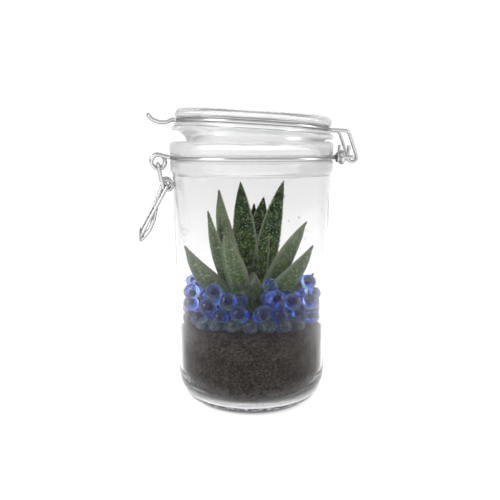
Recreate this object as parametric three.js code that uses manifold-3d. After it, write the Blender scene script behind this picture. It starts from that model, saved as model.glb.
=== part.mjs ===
// A succulent planted in a tall clip-top glass jar, on a bed of blue water beads.
// Millimetres, +Z up. The origin is the middle of the jar's foot.
// The latch is at -X, the lid's hinge is at +X, and the hinge axes run along Y.

import * as THREE from 'three';
import { mergeVertices } from 'three/addons/utils/BufferGeometryUtils.js';
import Module from 'manifold-3d';

const wasm = await Module();
wasm.setup();

// Driving dimensions of the jar
const FOOT_RADIUS = 41;
const HEEL_HEIGHT = 21;
const BODY_RADIUS_LOW = 52.2;
const BODY_RADIUS_HIGH = 53;
const SHOULDER_Z = 156.5;
const NECK_RADIUS = 54.5;
const RIM_Z = 177.5;
const WALL = 2;
const FLOOR_Z = 4;
const INNER_FLOOR_RADIUS = 34;
const MOUTH_RADIUS = 46;
const GAP = 0.3;
const ROUND_SIDES = 30;

// Driving dimensions of the wires
const NECK_WIRE = 1.15;
const LID_WIRE = 1.1;
const LEVER_WIRE = 1.1;
const BAIL_WIRE = 1.0;
const WIRE_SIDES = 6;
const RING_STEPS = 13;
const NECK_WIRE_Z = 167.2;
const NECK_WIRE_RING = 54.95;
const HINGE = new THREE.Vector2(67.5, NECK_WIRE_Z);
const HINGE_LOOP_HALF = 13.5;
const HOOK_HALF = 10;
const LID_AJAR_DEG = 3.4;

// Driving dimensions of the lid, measured up from the underside of its lip
const LIP_Z = 180.7;
const LIP_RADIUS = 52;
const LID_TOP = 10.8;
const LID_GROOVE_Z = 3.5;
const LID_GROOVE_RADIUS = 49.5;
const PLUG_RADIUS = 43.6;
const PLUG_DEPTH = 10.2;
const GASKET_THICK = 2.6;
const GASKET_OUTER = 53.6;
const GASKET_INNER = 49.5;

// Driving dimensions of the latch
const EYE = new THREE.Vector2(-62.2, 164.8);
const EYE_RADIUS = 4.45;
const LEVER_PIVOT = new THREE.Vector2(-62.4, 163.1);
const LEVER_COIL = new THREE.Vector2(-57, 150.2);
const COIL_RADIUS = 3.1;
const BAIL_PIVOT = new THREE.Vector2(-57.2, 149.8);
const BAIL_END = new THREE.Vector2(-75.7, 117.3);

// Driving dimensions of the planting
const BEAD_RADIUS = 5.3;
const BEAD_ROW_RISE = 9;
const BEAD_ROWS = 3;
const BEAD_PITCH = 2.28;
const BED_CORE_SIDES = 20;
const BED_CORE_FOOT = 1.5;
const BED_CORE_TOP = 14;
const INNER_RISE = 11.5;
const SUNK_DEPTH = 2.2;
const SUNK_CORE = 2.4;
const BEAD_FACET_ALLOWANCE = 1.06;
const STEM_RADIUS = 8;
const STEM_FOOT_Z = 40;
const STEM_HOLE_TOP = 66;
const STEM_SIDES = 14;
const VIEW_TURN_DEG = -10;

// Small helpers

const radians = THREE.MathUtils.degToRad;

// A place given as seen in the jar's front view: to the right, and back from the viewer.
function fromView(right, back) {
  const turn = radians(VIEW_TURN_DEG);
  return new THREE.Vector2(
    right * Math.cos(turn) - back * Math.sin(turn),
    right * Math.sin(turn) + back * Math.cos(turn),
  );
}

function toSolid(geometry) {
  const bare = geometry.clone();
  bare.deleteAttribute('normal');
  bare.deleteAttribute('uv');
  const merged = mergeVertices(bare, 1e-4);
  const index = merged.index.array;
  const triangles = [];
  for (let i = 0; i < index.length; i += 3) {
    const [a, b, c] = [index[i], index[i + 1], index[i + 2]];
    if (a !== b && b !== c && c !== a) triangles.push(a, b, c);
  }
  return new wasm.Manifold(new wasm.Mesh({
    numProp: 3,
    vertProperties: new Float32Array(merged.attributes.position.array),
    triVerts: new Uint32Array(triangles),
  }));
}

function toGeometry(solid) {
  const mesh = solid.getMesh();
  const geometry = new THREE.BufferGeometry();
  geometry.setAttribute('position', new THREE.BufferAttribute(new Float32Array(mesh.vertProperties), 3));
  geometry.setIndex(new THREE.BufferAttribute(new Uint32Array(mesh.triVerts), 1));
  geometry.computeVertexNormals();
  return geometry;
}

// Cutting can leave loose scraps, so only the largest body is kept.
function largestBody(solid) {
  const bodies = solid.decompose();
  bodies.sort((a, b) => b.volume() - a.volume());
  return bodies[0];
}

function joined(solids) {
  return solids.reduce((sum, solid) => sum.add(solid));
}

// A body turned about the Z axis from a list of [radius, z] points.
function turned(profile, sides = ROUND_SIDES) {
  const points = profile.map(([radius, z]) => new THREE.Vector2(radius, z));
  return new THREE.LatheGeometry(points, sides).rotateX(Math.PI / 2);
}

// Points on a quarter ellipse from [r0, z0], which it leaves level, to [r1, z1], which it meets upright.
function heelCurve(r0, z0, r1, z1, steps) {
  const points = [];
  for (let i = 0; i <= steps; i += 1) {
    const angle = (i / steps) * Math.PI / 2;
    points.push([r0 + (r1 - r0) * Math.sin(angle), z1 - (z1 - z0) * Math.cos(angle)]);
  }
  return points;
}

// Wires

// Replaces a corner by a short arc, drawn with a few straight steps.
function roundedCorner(before, corner, after, radius) {
  const incoming = corner.clone().sub(before).normalize();
  const outgoing = after.clone().sub(corner).normalize();
  const turn = incoming.angleTo(outgoing);
  const setback = radius * Math.tan(turn / 2);
  const start = corner.clone().addScaledVector(incoming, -setback);
  const end = corner.clone().addScaledVector(outgoing, setback);
  const steps = Math.max(1, Math.ceil(turn / radians(32)));
  const points = [];
  for (let i = 0; i <= steps; i += 1) {
    const t = i / steps;
    const a = start.clone().lerp(corner, t);
    const b = corner.clone().lerp(end, t);
    points.push(a.lerp(b, t));
  }
  return points;
}

// A route is a list of [x, y, z, corner radius]. A point without a radius is kept as it is.
function routePoints(route) {
  const vectors = route.map(([x, y, z]) => new THREE.Vector3(x, y, z));
  return route.flatMap(([, , , radius], i) => (
    radius ? roundedCorner(vectors[i - 1], vectors[i], vectors[i + 1], radius) : [vectors[i]]
  ));
}

// The near half of a wire and its mirror image in the plane y = 0, as one list of points.
function withMirror(half, closed) {
  const far = half.map((p) => new THREE.Vector3(p.x, -p.y, p.z)).reverse();
  return closed ? [...half, ...far.slice(1, -1)] : [...half, ...far.slice(1)];
}

// A round wire along the points, with flat ends unless it closes on itself.
function wire(points, radius, closed = false) {
  const count = points.length;
  const at = (i) => points[closed ? (i + count) % count : THREE.MathUtils.clamp(i, 0, count - 1)];
  const tangents = points.map((_, i) => at(i + 1).clone().sub(at(i - 1)).normalize());
  const reference = Math.abs(tangents[0].z) > 0.9 ? new THREE.Vector3(1, 0, 0) : new THREE.Vector3(0, 0, 1);
  const normals = [reference.cross(tangents[0]).normalize()];
  const carry = (normal, tangent) => normal.clone().addScaledVector(tangent, -normal.dot(tangent)).normalize();
  for (let i = 1; i < count; i += 1) normals.push(carry(normals[i - 1], tangents[i]));
  let twist = 0;
  if (closed) {
    const back = carry(normals[count - 1], tangents[0]);
    twist = Math.atan2(back.clone().cross(normals[0]).dot(tangents[0]), back.dot(normals[0]));
  }
  const positions = [];
  points.forEach((point, i) => {
    const side = normals[i].clone().applyAxisAngle(tangents[i], twist * i / count);
    const up = tangents[i].clone().cross(side);
    for (let s = 0; s < WIRE_SIDES; s += 1) {
      const angle = (s / WIRE_SIDES) * 2 * Math.PI;
      const p = point.clone()
        .addScaledVector(side, radius * Math.cos(angle))
        .addScaledVector(up, radius * Math.sin(angle));
      positions.push(p.x, p.y, p.z);
    }
  });
  const index = [];
  const rings = closed ? count : count - 1;
  for (let i = 0; i < rings; i += 1) {
    const here = i * WIRE_SIDES;
    const next = ((i + 1) % count) * WIRE_SIDES;
    for (let s = 0; s < WIRE_SIDES; s += 1) {
      const t = (s + 1) % WIRE_SIDES;
      index.push(here + s, here + t, next + t, here + s, next + t, next + s);
    }
  }
  if (!closed) {
    const last = (count - 1) * WIRE_SIDES;
    for (let s = 1; s < WIRE_SIDES - 1; s += 1) {
      index.push(0, s + 1, s, last, last + s, last + s + 1);
    }
  }
  const geometry = new THREE.BufferGeometry();
  geometry.setAttribute('position', new THREE.Float32BufferAttribute(positions, 3));
  geometry.setIndex(index);
  geometry.computeVertexNormals();
  return geometry;
}

// Points of a coil in the XZ plane, turning from one angle to another while it drifts along Y.
function coil(center, radius, fromDeg, toDeg, fromY, toY, steps) {
  const points = [];
  for (let i = 0; i <= steps; i += 1) {
    const t = i / steps;
    const angle = radians(fromDeg + (toDeg - fromDeg) * t);
    points.push([
      center.x + radius * Math.cos(angle), fromY + (toY - fromY) * t, center.y + radius * Math.sin(angle),
    ]);
  }
  return points;
}

// The near half of a level ring, from the place at rearY behind the +X side to the place at frontY.
function halfRing(radius, z, rearY, frontY, steps) {
  const from = -Math.asin(-rearY / radius);
  const to = -Math.PI + Math.asin(-frontY / radius);
  const points = [];
  for (let i = 1; i < steps; i += 1) {
    const angle = from + (to - from) * i / steps;
    points.push([radius * Math.cos(angle), radius * Math.sin(angle), z]);
  }
  return points;
}

const ringX = (radius, y) => Math.sqrt(radius * radius - y * y);

// Glass jar and lid

function jarGlass() {
  const footGroove = [[33, 0], [34, 0.9], [36.6, 0.9], [37.6, 0]];
  const outerHeel = heelCurve(FOOT_RADIUS, 0, BODY_RADIUS_LOW, HEEL_HEIGHT, 6);
  const neckBand = [
    [BODY_RADIUS_HIGH, SHOULDER_Z], [NECK_RADIUS, SHOULDER_Z + 2.4], [NECK_RADIUS, NECK_WIRE_Z - 2.4],
    [NECK_WIRE_RING - NECK_WIRE - GAP, NECK_WIRE_Z - 1.5], [NECK_WIRE_RING - NECK_WIRE - GAP, NECK_WIRE_Z + 1.5],
    [NECK_RADIUS, NECK_WIRE_Z + 2.4], [NECK_RADIUS, RIM_Z - 3], [NECK_RADIUS - 1, RIM_Z - 0.8],
    [NECK_RADIUS - 2.7, RIM_Z],
  ];
  const mouth = [
    [51, RIM_Z], [48.6, RIM_Z - 1.4], [46.8, RIM_Z - 4.5], [MOUTH_RADIUS, RIM_Z - 8.5],
    [MOUTH_RADIUS, SHOULDER_Z + 8], [BODY_RADIUS_HIGH - WALL, SHOULDER_Z + 1],
  ];
  const innerHeel = heelCurve(
    INNER_FLOOR_RADIUS, FLOOR_Z, BODY_RADIUS_LOW - WALL, HEEL_HEIGHT + 3, 6,
  ).reverse();
  return turned([[0, 0], ...footGroove, ...outerHeel, ...neckBand, ...mouth, ...innerHeel, [0, FLOOR_Z]]);
}

function lidGlass() {
  const flange = [
    [LIP_RADIUS, 0], [LIP_RADIUS, 1.6], [LIP_RADIUS - 0.8, 1.9], [LID_GROOVE_RADIUS, LID_GROOVE_Z - 1.5],
    [LID_GROOVE_RADIUS, LID_GROOVE_Z + 1.4], [50.6, 5.1], [51.5, 6], [51.8, 7.4], [51.5, 8.9],
    [50.2, 10.3], [48.2, LID_TOP],
  ];
  const top = [[41, LID_TOP], [40, LID_TOP - 0.8], [0, LID_TOP - 0.8]];
  const hollow = [[0, 6.6], [30, 6.2], [37.5, 4], [39.8, 0], [40.6, -5], [41.4, -PLUG_DEPTH + 0.4]];
  const plug = [
    [42.5, -PLUG_DEPTH - 0.3], [PLUG_RADIUS, -PLUG_DEPTH + 0.3], [43.9, -9.2], [44.6, -7.4], [46, -5.6],
    [48, -4.2], [49, -3.2], [49.2, -2.4], [49.2, 0], [LIP_RADIUS, 0],
  ];
  return turned([...hollow, ...plug, ...flange.slice(1), ...top]);
}

function gasketRing() {
  const low = LIP_Z - GAP - GASKET_THICK;
  const high = LIP_Z - GAP;
  return turned([
    [GASKET_INNER, low + 0.2], [GASKET_INNER + 0.6, low], [GASKET_OUTER - 0.5, low],
    [GASKET_OUTER, low + 0.6], [GASKET_OUTER, high - 0.6], [GASKET_OUTER - 0.5, high],
    [GASKET_INNER, high], [GASKET_INNER, low + 0.2],
  ]);
}

// Wires of the jar and the lid

function neckWire() {
  const eyeEntryY = -10.5;
  const eyeExitY = -7.6;
  const eyeTurn = coil(EYE, EYE_RADIUS, 90, 405, eyeEntryY, eyeExitY, 11);
  const [crossX, , crossZ] = eyeTurn[eyeTurn.length - 1];
  const half = routePoints([
    [HINGE.x, 0, HINGE.y],
    [HINGE.x, -HINGE_LOOP_HALF, HINGE.y, 2.5],
    [ringX(NECK_WIRE_RING, HINGE_LOOP_HALF), -HINGE_LOOP_HALF, NECK_WIRE_Z, 3],
    ...halfRing(NECK_WIRE_RING, NECK_WIRE_Z, -HINGE_LOOP_HALF, eyeEntryY, RING_STEPS),
    [-ringX(NECK_WIRE_RING, eyeEntryY), eyeEntryY, NECK_WIRE_Z, 3],
    ...eyeTurn.slice(0, -1),
    [crossX, eyeExitY, crossZ, 1.2],
    [crossX, 0, crossZ],
  ]);
  return wire(withMirror(half, true), NECK_WIRE, true);
}

// A flared bush on each side of the hinge loop, with a plain hole for the wire.
function hingeBush(side) {
  const bore = NECK_WIRE + GAP;
  const profile = [[bore, 0], [3.2, 0], [3.6, 1.8], [4.7, 3.3], [4.7, 4.4], [bore, 4.4], [bore, 0]];
  return turned(profile, 16).rotateY(Math.PI / 2).translate(55.2, side * HINGE_LOOP_HALF, NECK_WIRE_Z);
}

// The lid's wire is drawn with the lid closed.
function lidWire() {
  const ring = LID_GROOVE_RADIUS + GAP + LID_WIRE;
  const z = LIP_Z + LID_GROOVE_Z;
  const hookRadius = 3.1;
  const noseHalf = 6;
  const hook = coil(HINGE, hookRadius, 180, 386, -HOOK_HALF, -HOOK_HALF, 7);
  const half = routePoints([
    [HINGE.x - hookRadius, -HOOK_HALF, HINGE.y + 7.4],
    ...hook,
    [HINGE.x - 4.4, -HOOK_HALF, z, 4],
    [ringX(ring, HOOK_HALF), -HOOK_HALF, z, 3],
    ...halfRing(ring, z, -HOOK_HALF, -noseHalf, RING_STEPS),
    [-ringX(ring, noseHalf), -noseHalf, z, 2.4],
    [-53.6, -noseHalf, z, 1.5],
    [-57.5, -noseHalf, z - 2.6, 2],
    [-62, -noseHalf + 0.4, z - 2.8],
    [-66.4, -noseHalf + 0.8, z - 1.2],
    [-69, -noseHalf + 1.2, z + 2, 3],
    [-69, 0, z + 2],
  ]);
  return wire(withMirror(half, false), LID_WIRE);
}

function leverWire() {
  const armY = -12.8;
  const handleY = -10.2;
  const half = routePoints([
    [LEVER_PIVOT.x, -6.2, LEVER_PIVOT.y],
    [LEVER_PIVOT.x, armY, LEVER_PIVOT.y, 1.5],
    ...coil(LEVER_COIL, COIL_RADIUS, 191, 518, armY, handleY, 11),
    [-63.4, -9.9, 141.9],
    [-65.2, -9.5, 132.8],
    [-66.4, -9.2, 127.5],
    [-69.9, -8.6, 120],
    [-75.6, -7.4, 113.6, 5],
    [-75.6, 0, 113.6],
  ]);
  return wire(withMirror(half, false), LEVER_WIRE);
}

function bailWire() {
  const armY = -15.4;
  const half = routePoints([
    [BAIL_PIVOT.x, -8.4, BAIL_PIVOT.y],
    [BAIL_PIVOT.x, armY, BAIL_PIVOT.y, 1.5],
    [BAIL_END.x, armY, BAIL_END.y, 5],
    [BAIL_END.x, 0, BAIL_END.y],
  ]);
  return wire(withMirror(half, false), BAIL_WIRE);
}

// Soil and beads

const BED_RADIUS = BODY_RADIUS_LOW - WALL - GAP;
const BEAD_REACH = BED_RADIUS * Math.cos(Math.PI / ROUND_SIDES);
const OUTER_BEAD_RING = BEAD_REACH - BEAD_RADIUS * BEAD_FACET_ALLOWANCE;
const SURFACE_RINGS = [0.84, 0.62, 0.42, 0.24];

// Height of the soil's surface: a low mound that rises towards the viewer's side.
function soilTop(x, y) {
  const turn = radians(VIEW_TURN_DEG);
  const back = -x * Math.sin(turn) + y * Math.cos(turn);
  const spread = Math.hypot(x, y) / BED_RADIUS;
  return 50.5 + 3.5 * (1 - spread * spread) - 0.155 * back;
}

// Moves each point of the geometry that the test picks onto a height above the soil's surface.
function liftToSoil(geometry, pick) {
  const position = geometry.attributes.position;
  for (let i = 0; i < position.count; i += 1) {
    const lift = pick(position.getZ(i));
    if (lift !== null) position.setZ(i, soilTop(position.getX(i), position.getY(i)) + lift);
  }
  return geometry;
}

function soilBody() {
  const markZ = 1000;
  const heel = heelCurve(INNER_FLOOR_RADIUS - GAP, FLOOR_Z + GAP, BED_RADIUS, HEEL_HEIGHT + 3, 5);
  const surface = [1, ...SURFACE_RINGS, 0].map((share) => [BED_RADIUS * share, markZ]);
  const profile = [[0, FLOOR_Z + GAP], ...heel, ...surface];
  return liftToSoil(turned(profile), (z) => (z === markZ ? 0 : null));
}

// A core that the beads stand out of. It keeps clear of the glass and of the stem.
function bedCore() {
  const lowMark = 1000;
  const highMark = 2000;
  const [outer, , , inner] = SURFACE_RINGS.map((share) => BED_RADIUS * share);
  const profile = [[inner, lowMark], [outer, lowMark], [outer, highMark], [inner, highMark], [inner, lowMark]];
  const heights = new Map([[lowMark, BED_CORE_FOOT], [highMark, BED_CORE_TOP]]);
  return liftToSoil(turned(profile, BED_CORE_SIDES), (z) => heights.get(z) ?? null);
}

function bead({ x, y, z, radius }, grow = 0) {
  return toSolid(new THREE.IcosahedronGeometry(radius * BEAD_FACET_ALLOWANCE + grow, 0).translate(x, y, z));
}

// Beads that press against the glass in front. Each is given as seen in the front view:
// to the right, up, and its radius.
const FRONT_BEADS = [
  [-46, 62.5, 4.4], [-39.8, 79, 5.4], [-40.5, 70.5, 5.2], [-34.6, 62.5, 4.9], [-28.1, 72, 5.6],
  [-23.9, 83, 5.5], [-20, 67, 5], [-15, 77.5, 5.9], [-7.6, 69.5, 5.9], [6.8, 69.5, 5.9], [15.2, 79, 6.5],
  [18.5, 68, 5.5], [26.7, 76, 5.5], [31.5, 65, 5.2], [39.8, 72, 5.5], [40.3, 61.5, 5.2], [46, 73, 4.3],
];
const TOP_BEADS = [[12.3, -33, 86.4, 4.8], [39.5, -8, 83, 5.2], [-38, 4, 78, 5.2]];

// Sideways angle of a place round the jar, measured from the viewer's side.
function viewAngle(angle) {
  const degrees = THREE.MathUtils.radToDeg(angle) - 270 - VIEW_TURN_DEG;
  return Math.abs(THREE.MathUtils.euclideanModulo(degrees + 180, 360) - 180);
}

function ringOfBeads(ringRadius, rise, shift, keep) {
  const count = Math.floor((2 * Math.PI * ringRadius) / (BEAD_PITCH * BEAD_RADIUS));
  const places = [];
  for (let i = 0; i < count; i += 1) {
    const angle = ((i + shift) / count) * 2 * Math.PI;
    const x = ringRadius * Math.cos(angle);
    const y = ringRadius * Math.sin(angle);
    const z = soilTop(x, y) + BEAD_RADIUS + 0.5 + rise;
    if (keep(viewAngle(angle))) places.push({ x, y, z, radius: BEAD_RADIUS });
  }
  return places;
}

function placeFromView([right, back, z, radius]) {
  const { x, y } = fromView(right, back);
  return { x, y, z, radius };
}

// A bead in the front row touches the glass.
function frontBead([right, z, radius]) {
  const ringRadius = BEAD_REACH - radius * BEAD_FACET_ALLOWANCE;
  const side = THREE.MathUtils.clamp(right, -ringRadius, ringRadius);
  return placeFromView([side, -Math.sqrt(ringRadius * ringRadius - side * side), z, radius]);
}

function looseBeadPlaces() {
  const outer = OUTER_BEAD_RING;
  const atBack = (angle) => angle > 88;
  const offCentre = (angle) => angle > 14;
  const rows = [];
  for (let row = 0; row < BEAD_ROWS; row += 1) {
    rows.push(...ringOfBeads(outer, row * BEAD_ROW_RISE, row % 2 ? 0.5 : 0, atBack));
  }
  return [
    ...rows,
    ...ringOfBeads(outer - 1.8 * BEAD_RADIUS, INNER_RISE, 0.3, offCentre),
    ...FRONT_BEADS.map(frontBead),
    ...TOP_BEADS.map(placeFromView),
  ];
}

function sunkBeadPlaces() {
  const inFront = (angle) => angle < 50;
  return ringOfBeads(OUTER_BEAD_RING, -SUNK_DEPTH, 0, inFront);
}

// The beads that are half sunk in the soil at the front, held on a short core of their own.
function sunkBeads(grow) {
  const places = sunkBeadPlaces();
  const core = places.map(({ x, y, z }) => new THREE.Vector3(x, y, z));
  return joined([toSolid(wire(core, SUNK_CORE + grow)), ...places.map((place) => bead(place, grow))]);
}

function looseBeads() {
  return joined([toSolid(bedCore()), ...looseBeadPlaces().map((place) => bead(place))]);
}

// Plant

// Each leaf runs from the crown through a place on its way to its tip. Both are given as seen in
// the front view: to the right, back from the viewer, and up. The roll, in degrees, turns the
// leaf's underside towards the viewer.
const LEAVES = [
  { name: 'leaf_tall_centre', tip: [-7.8, 16, 150.3], via: [-5.5, 8, 108], width: 19, roll: 0 },
  { name: 'leaf_tall_right', tip: [23.1, 18, 151], via: [12.5, 8, 106], width: 18, roll: -25 },
  { name: 'leaf_front_left', tip: [-16.6, -24, 120.5], via: [-12.3, -18, 92], width: 20, roll: 0 },
  { name: 'leaf_upper_left', tip: [-22.1, 4, 145.4], via: [-17, 2, 106], width: 19, roll: 42 },
  { name: 'leaf_side_left', tip: [-29, -8, 132.5], via: [-20.5, -5, 93], width: 15, roll: 35 },
  { name: 'leaf_side_right', tip: [38.3, 4, 123.6], via: [22, 2, 94], width: 22, roll: 32 },
  { name: 'leaf_low_left', tip: [-45.2, -8, 108.7], via: [-27.5, -7, 80], width: 24, roll: 32 },
  { name: 'leaf_low_right', tip: [41.4, -10, 109.4], via: [25, -8, 82], width: 19.5, roll: 35 },
  { name: 'leaf_rear_right', tip: [8.8, 24, 138.9], via: [5, 13, 102], width: 19, roll: 0 },
  { name: 'leaf_rear_centre', tip: [2.4, 29, 134], via: [0.5, 19, 98], width: 13, roll: 0 },
  { name: 'leaf_back_left', tip: [-13, 33, 120], via: [-8, 21, 90], width: 15, roll: 0 },
  { name: 'leaf_back_right', tip: [16, 35, 118], via: [10, 22, 89], width: 15, roll: 0 },
  { name: 'leaf_far_right', tip: [31, 24, 102], via: [19, 15, 82], width: 15, roll: 0 },
  { name: 'leaf_far_left', tip: [-29, 24, 102], via: [-18, 15, 81], width: 14, roll: 0 },
  { name: 'leaf_small_front', tip: [1.3, -20, 92.8], via: [1, -14, 79], width: 11, roll: 0 },
  { name: 'leaf_small_left', tip: [-42.1, 4, 90.6], via: [-28, 4, 75], width: 11, roll: 20 },
  { name: 'leaf_small_right', tip: [43.6, 0, 87.7], via: [28, 0, 75], width: 11, roll: 20 },
];
const CROWN_LEAVES = [
  { tip: [3, 4, 92], via: [1.5, 3, 82], width: 9, roll: 0 },
  { tip: [-3, -5, 88], via: [-1.5, -4, 78], width: 9, roll: 0 },
];
const LEAF_GAP = 0.5;
const CROWN_Z = 60;
const CROWN_RADIUS = 4;
const LEAF_STEPS = 10;
const LEAF_SIDES = 8;
const WIDEST_AT = 0.4;
const TIP_TAPER = 1.7;
const VIA_AT = 0.45;
const THICKNESS_SHARE = 0.27;
const TOOTH = 0.35;

// Width of a lance-shaped leaf as a share of its greatest width, from base (0) to tip (1).
function leafOutline(t) {
  if (t < WIDEST_AT) return 0.72 + 0.28 * Math.sin((t / WIDEST_AT) * Math.PI / 2);
  return 1 - ((t - WIDEST_AT) / (1 - WIDEST_AT)) ** TIP_TAPER;
}

// The curve from the crown that passes the leaf's given place and ends at its tip.
function leafSpine(tip, via) {
  const [end, passed] = [tip, via].map(([right, back, z]) => {
    const { x, y } = fromView(right, back);
    return new THREE.Vector3(x, y, z);
  });
  const outward = new THREE.Vector3(end.x, end.y, 0).normalize();
  const base = outward.clone().multiplyScalar(CROWN_RADIUS).setZ(CROWN_Z);
  const rest = 1 - VIA_AT;
  const control = passed.clone()
    .addScaledVector(base, -rest * rest)
    .addScaledVector(end, -VIA_AT * VIA_AT)
    .divideScalar(2 * rest * VIA_AT);
  return { spine: new THREE.QuadraticBezierCurve3(base, control, end), outward };
}

// A thick leaf with a channel above and a keel below. Its edge has small blunt teeth.
function leafSolid({ tip, via, width, roll }, grow = 0) {
  const { spine, outward } = leafSpine(tip, via);
  const level = new THREE.Vector3(-outward.y, outward.x, 0);
  const turn = radians(-roll * Math.sign(tip[0]));
  const positions = [];
  for (let i = 0; i < LEAF_STEPS; i += 1) {
    const t = i / LEAF_STEPS;
    const place = spine.getPoint(t);
    const along = spine.getTangent(t);
    const across = level.clone().applyAxisAngle(along, turn);
    const upper = along.clone().cross(across).normalize();
    const span = width * leafOutline(t);
    const half = 0.5 * span + (i % 2 ? TOOTH : 0) + grow;
    const thick = Math.max(1.1, THICKNESS_SHARE * span) + grow;
    const rise = 0.16 * span;
    const edgeUp = rise + grow;
    const flankUp = -0.1 * rise + grow;
    const channelUp = -0.5 * rise + grow;
    const section = [
      [-half, edgeUp], [-0.45 * half, flankUp], [0, channelUp], [0.45 * half, flankUp],
      [half, edgeUp], [0.55 * half, -0.55 * thick], [0, -thick], [-0.55 * half, -0.55 * thick],
    ];
    for (const [side, up] of section) {
      const p = place.clone().addScaledVector(across, side).addScaledVector(upper, up);
      positions.push(p.x, p.y, p.z);
    }
  }
  const ring = LEAF_SIDES;
  const tipIndex = LEAF_STEPS * ring;
  const lastAlong = spine.getTangent(1);
  const tipPoint = spine.v2.clone().addScaledVector(lastAlong, grow);
  positions.push(tipPoint.x, tipPoint.y, tipPoint.z);
  const index = [];
  for (let i = 0; i < LEAF_STEPS - 1; i += 1) {
    for (let s = 0; s < ring; s += 1) {
      const t = (s + 1) % ring;
      const here = i * ring;
      const next = here + ring;
      index.push(here + s, next + t, here + t, here + s, next + s, next + t);
    }
  }
  const last = (LEAF_STEPS - 1) * ring;
  for (let s = 0; s < ring; s += 1) index.push(last + s, tipIndex, last + ((s + 1) % ring));
  for (let s = 1; s < ring - 1; s += 1) index.push(0, s, s + 1);
  const geometry = new THREE.BufferGeometry();
  geometry.setAttribute('position', new THREE.Float32BufferAttribute(positions, 3));
  geometry.setIndex(index);
  const solid = toSolid(geometry);
  return solid.volume() < 0 ? toSolid(flipped(geometry)) : solid;
}

function flipped(geometry) {
  const copy = geometry.clone();
  const index = Array.from(copy.index.array);
  for (let i = 0; i < index.length; i += 3) [index[i + 1], index[i + 2]] = [index[i + 2], index[i + 1]];
  copy.setIndex(index);
  return copy;
}

function stemSolid(grow) {
  const radius = STEM_RADIUS + grow;
  const post = turned([
    [0, STEM_FOOT_Z - grow], [radius, STEM_FOOT_Z - grow], [radius, STEM_HOLE_TOP],
    [radius - 2.5, 74 + grow], [0, 80 + grow],
  ], STEM_SIDES);
  return joined([toSolid(post), ...CROWN_LEAVES.map((leaf) => leafSolid(leaf, grow))]);
}

// Each leaf is trimmed where it meets the stem and the leaves listed before it.
function trimmedLeaves() {
  const trimmed = [];
  let taken = stemSolid(GAP);
  for (const leaf of LEAVES) {
    trimmed.push({ name: leaf.name, solid: largestBody(leafSolid(leaf).subtract(taken)) });
    taken = taken.add(leafSolid(leaf, LEAF_GAP));
  }
  return { trimmed, taken };
}

// Materials

const clearGlass = { color: 0xdfe8e6, roughness: 0.05, metalness: 0, transparent: true, opacity: 0.35 };
const steel = { color: 0xb9bbbd, roughness: 0.25, metalness: 1 };
const rubber = { color: 0xd9dcd8, roughness: 0.5, metalness: 0 };
const soil = { color: 0x4a3f37, roughness: 0.95, metalness: 0 };
const blueGel = { color: 0x4a5fd0, roughness: 0.1, metalness: 0 };
const tealGel = { color: 0x4c6a70, roughness: 0.15, metalness: 0 };
const leafGreen = { color: 0x47603f, roughness: 0.6, metalness: 0 };
const stemGreen = { color: 0x7d8a72, roughness: 0.7, metalness: 0 };

function named(name, geometry, look) {
  const mesh = new THREE.Mesh(geometry, new THREE.MeshStandardMaterial(look));
  mesh.name = name;
  return mesh;
}

// Assembly

const terrarium = new THREE.Group();

function addGlassAndWires() {
  terrarium.add(named('jar_glass', jarGlass(), clearGlass));
  terrarium.add(named('neck_wire', neckWire(), steel));
  terrarium.add(named('hinge_bush_near', hingeBush(-1), steel));
  terrarium.add(named('hinge_bush_far', hingeBush(1), steel));
  terrarium.add(named('lever_wire', leverWire(), steel));
  terrarium.add(named('bail_wire', bailWire(), steel));
}

function addLid() {
  const lid = new THREE.Group();
  lid.position.set(HINGE.x, 0, HINGE.y);
  lid.rotation.y = radians(LID_AJAR_DEG);
  const pieces = [
    named('lid_glass', lidGlass().translate(0, 0, LIP_Z), clearGlass),
    named('lid_gasket', gasketRing(), rubber),
    named('lid_wire', lidWire(), steel),
  ];
  for (const piece of pieces) {
    piece.position.set(-HINGE.x, 0, -HINGE.y);
    lid.add(piece);
  }
  terrarium.add(lid);
}

function addPlanting() {
  const { trimmed, taken } = trimmedLeaves();
  const stemHole = turned([
    [0, STEM_FOOT_Z - GAP], [STEM_RADIUS + GAP, STEM_FOOT_Z - GAP],
    [STEM_RADIUS + GAP, STEM_HOLE_TOP], [0, STEM_HOLE_TOP],
  ], STEM_SIDES);
  const sunkRoom = sunkBeads(GAP);
  const ground = toSolid(soilBody()).subtract(toSolid(stemHole)).subtract(sunkRoom);
  terrarium.add(named('soil', toGeometry(largestBody(ground)), soil));
  terrarium.add(named('sunk_beads', toGeometry(largestBody(sunkBeads(0))), tealGel));
  const loose = looseBeads().subtract(sunkRoom).subtract(taken);
  terrarium.add(named('water_beads', toGeometry(largestBody(loose)), blueGel));
  terrarium.add(named('stem', toGeometry(stemSolid(0)), stemGreen));
  for (const { name, solid } of trimmed) terrarium.add(named(name, toGeometry(solid), leafGreen));
}

addGlassAndWires();
addLid();
addPlanting();

export default terrarium;
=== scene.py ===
"""Looks of a succulent in a clip-top glass jar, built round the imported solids.

Lengths in the shape code are millimetres in the object's own frame, and meshes are made in metres.
"""

import math
import random

import bpy
from mathutils import Matrix, Vector, noise


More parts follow.
